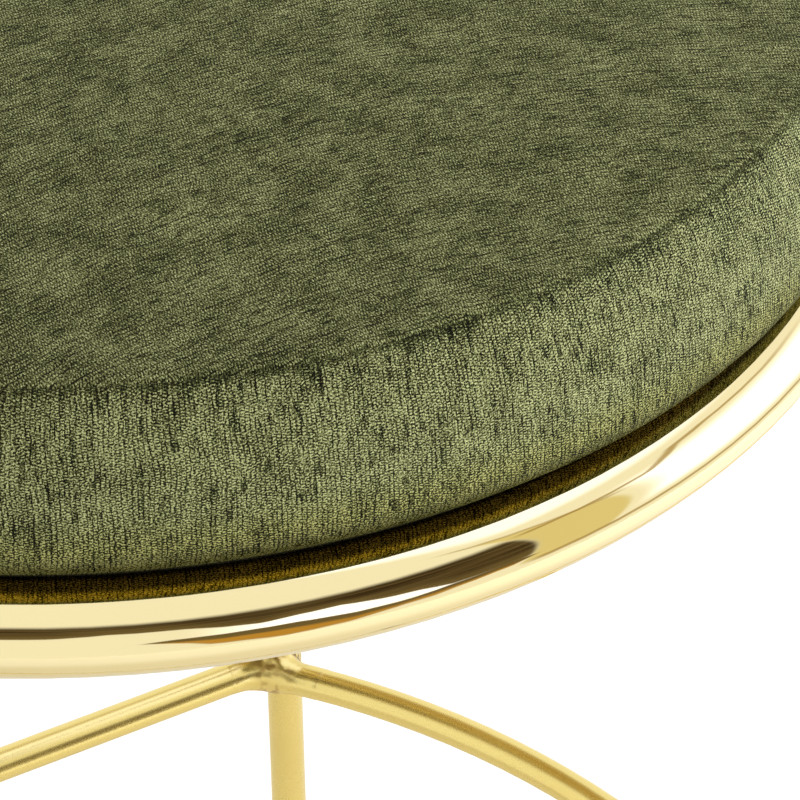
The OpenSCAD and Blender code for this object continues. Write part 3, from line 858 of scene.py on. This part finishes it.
def dress_frame():
    """Gives each metal and hidden CAD node its finish."""
    satin, dust = satin_gold(), dust_cloth()
    finishes = {
        "ring_metal": polished_gold(), "satin_gold": satin, "glide_plastic": glide_plastic(),
        "zinc_steel": zinc_steel(), "plywood": birch_ply(), "dust_cloth": dust,
    }
    weld = weld_gold()
    for part in frame["record"]["subparts"]:
        node = frame["nodes"][part["node"]]
        material = finishes.get(part["material_slot"])
        if material is None:
            continue
        if part["node"].endswith("welds"):
            material = weld
        node.data.materials.clear()
        node.data.materials.append(material)
        for polygon in node.data.polygons:
            polygon.material_index = 0
    build_joints(satin)
    build_dust_cover(dust)


def world_directions(n):
    """Degrees to the right of the way back to the camera, and degrees above the horizon."""
    direction = n.add("ShaderNodeTexCoord").outputs["Generated"]
    back = (-sin(CAMERA_AZIMUTH), -cos(CAMERA_AZIMUTH), 0)
    right = (cos(CAMERA_AZIMUTH), -sin(CAMERA_AZIMUTH), 0)
    ahead, aside = (n.vector("DOT_PRODUCT", direction, way) for way in (back, right))
    angles = n.math("ARCTAN2", aside, ahead), n.math("ARCSINE", n.height(direction))
    return [n.math("MULTIPLY", angle, 180 / pi) for angle in angles]


def by_turn(n, turn, stops):
    """Degrees that follow the turn, from (turn, degrees) pairs."""
    lowest = min(value for _, value in stops)
    span = max(value for _, value in stops) - lowest
    line = n.ramp(n.math("MULTIPLY", turn, 1 / RAMP_TURN),
                  [(place / RAMP_TURN, grey((value - lowest) / span)) for place, value in stops])
    return n.plus(lowest, n.add("ShaderNodeSeparateXYZ", {0: line}).outputs[0], span)


def dark_shapes(n, turn, rise):
    """Masks of the dark opening behind the camera with the strip below it, and of the strip's orange foot,
    and the colour of the dark."""
    above = n.math("SUBTRACT", rise, by_turn(n, turn, SILL))
    opening = n.math("MULTIPLY", n.smooth(above, 0.0, 2.5), n.smooth(rise, 24.5, 33.0, 1.0, 0.0))
    opening = n.math("MULTIPLY", opening, n.between(turn, -34.0, 64.5, 16.0, 1.2))
    off = n.math("SUBTRACT", rise, by_turn(n, turn, STRIP_MIDDLE))
    inside = n.math("SUBTRACT", by_turn(n, turn, STRIP_HALF), n.math("ABSOLUTE", off))
    strip = n.smooth(inside, 0.0, 2.0)
    foot = n.math("MULTIPLY", strip, n.smooth(off, -4.0, 0.0, 1.0, 0.0))
    # Nearly level streaks in the dark
    streaks = n.add("ShaderNodeCombineXYZ", {0: n.math("MULTIPLY", turn, 0.035),
                                             1: n.math("MULTIPLY", rise, 0.42)})
    streaks = n.ramp(n.noise(streaks.outputs[0], 1.0, 2.0, 0.6), [(0.40, grey(0.0)), (0.62, grey(0.55))])
    tone = n.mix(n.smooth(above, 1.0, 17.0), opaque((0.155, 0.112, 0.052)), opaque((0.045, 0.028, 0.013)))
    tone = n.mix(streaks, tone, opaque((0.20, 0.15, 0.08)))
    return n.math("MAXIMUM", opening, strip), foot, tone


def room():
    """A white room with a dark opening behind the camera, and a tan wall and a window to its right."""
    world = bpy.data.worlds.new("studio")
    world.use_nodes = True
    n = Nodes(world.node_tree)
    turn, rise = world_directions(n)

    def patch(turns, rises):
        return n.math("MULTIPLY", n.between(turn, *turns), n.between(rise, *rises))

    dark, foot, dark_tone = dark_shapes(n, turn, rise)
    window = patch((79.0, 150.0, 6.0, 30.0), (-22.0, 34.0, 12.0, 14.0))
    # A bright gap between the opening and the strip
    gleam = patch((18.0, 62.0, 14.0, 3.0), (-20.0, 14.0, 5.0, 5.0))
    # The tan wall under its sloping top, and the brown lines above and below the window
    wall_top = n.plus(125.0, turn, -1.3)
    wall = n.math("MULTIPLY", n.between(turn, 63.5, 78.5, 1.2, 1.5),
                  n.smooth(n.math("SUBTRACT", wall_top, rise), 0.0, 2.0))
    wall = n.math("MULTIPLY", wall, n.smooth(rise, -26.0, -24.0))
    wall_edge = n.math("MULTIPLY", n.near(rise, wall_top, 0.5, 3.5), n.between(turn, 60.0, 82.0, 4.0, 5.0))
    lines = n.math("MAXIMUM", n.near(rise, by_turn(n, turn, WINDOW_HEAD), 0.8, 2.4),
                   n.near(rise, WINDOW_FOOT, 0.8, 2.4))
    lines = n.math("MULTIPLY", lines, n.between(turn, 64.0, 135.0, 4.0, 25.0))
    # Overhead, tan to the left and behind, and bright over the window
    overhead = n.math("MULTIPLY", n.math("SUBTRACT", 1.0, n.between(turn, -62.0, 177.0, 16.0, 8.0)),
                      n.smooth(rise, 38.0, 54.0))
    sky = patch((66.0, 172.0, 12.0, 8.0), (42.0, 84.0, 8.0, 12.0))
    seen = n.add("ShaderNodeLightPath").outputs["Is Camera Ray"]
    colour = WHITE
    for mask, tone in ((n.math("MAXIMUM", window, gleam), opaque((1.60, 1.70, 2.40))),
                       (sky, opaque((1.35, 1.42, 1.95))),
                       (wall, opaque((0.79, 0.70, 0.40))),
                       (n.math("MULTIPLY", lines, 0.85), opaque((0.44, 0.31, 0.12))),
                       (n.math("MULTIPLY", wall_edge, 0.70), opaque((0.42, 0.29, 0.10))),
                       (overhead, opaque((0.42, 0.29, 0.08))),
                       (dark, dark_tone),
                       (foot, opaque((0.54, 0.29, 0.055))),
                       (seen, WHITE)):
        colour = n.mix(mask, colour, tone)
    back = n.add("ShaderNodeBackground", {"Color": colour, "Strength": 1.0})
    n.add("ShaderNodeOutputWorld", {"Surface": back.outputs[0]})
    bpy.context.scene.world = world


def lamp(name, turn, rise, distance, size, power):
    """A soft disc of light that metal doesn't mirror, placed in degrees right of the camera's side, and
    up from the seat."""
    data = bpy.data.lights.new(name, "AREA")
    data.shape = "DISK"
    data.size = size
    data.energy = power
    light = bpy.data.objects.new(name, data)
    angle = -pi / 2 - CAMERA_AZIMUTH + radians(turn)
    level = cos(radians(rise))
    away = Vector((cos(angle) * level, sin(angle) * level, sin(radians(rise))))
    light.location = Vector((0, 0, SEAT_Z)) + away * distance
    light.rotation_euler = (-away).to_track_quat("-Z", "Y").to_euler()
    light.visible_glossy = False
    bpy.context.scene.collection.objects.link(light)


def build_studio():
    corners = [tau * k / FLOOR_CORNERS for k in range(FLOOR_CORNERS)]
    rim = [(FLOOR_R * cos(a), FLOOR_R * sin(a), 0) for a in corners]
    floor = mesh_object("studio_floor", rim, [tuple(range(FLOOR_CORNERS))], floor_paint())
    room()
    lamp("window", turn=92, rise=9, distance=1.6, size=1.3, power=18.0)
    lamp("fill", turn=35, rise=6, distance=2.6, size=1.2, power=14.0)


def build_camera():
    forward = Vector((sin(CAMERA_AZIMUTH) * cos(CAMERA_ELEVATION),
                      cos(CAMERA_AZIMUTH) * cos(CAMERA_ELEVATION), -sin(CAMERA_ELEVATION)))
    right = Vector((cos(CAMERA_AZIMUTH), -sin(CAMERA_AZIMUTH), 0))
    down = forward.cross(right)
    right_rolled = cos(CAMERA_ROLL) * right + sin(CAMERA_ROLL) * down
    down_rolled = -sin(CAMERA_ROLL) * right + cos(CAMERA_ROLL) * down
    lens = bpy.data.cameras.new("photo_camera")
    lens.lens = CAMERA_LENS
    lens.sensor_width = CAMERA_SENSOR
    lens.clip_start = 0.05
    camera = bpy.data.objects.new("photo_camera", lens)
    turn = Matrix((right_rolled, -down_rolled, -forward)).transposed().to_4x4()
    camera.matrix_world = Matrix.Translation(CAMERA_FROM_RING + Vector((0, 0, RING_Z))) @ turn
    bpy.context.scene.collection.objects.link(camera)
    bpy.context.scene.camera = camera


build_camera()
build_studio()
dress_frame()
build_pad(chenille())

bpy.context.scene.view_settings.view_transform = "Standard"
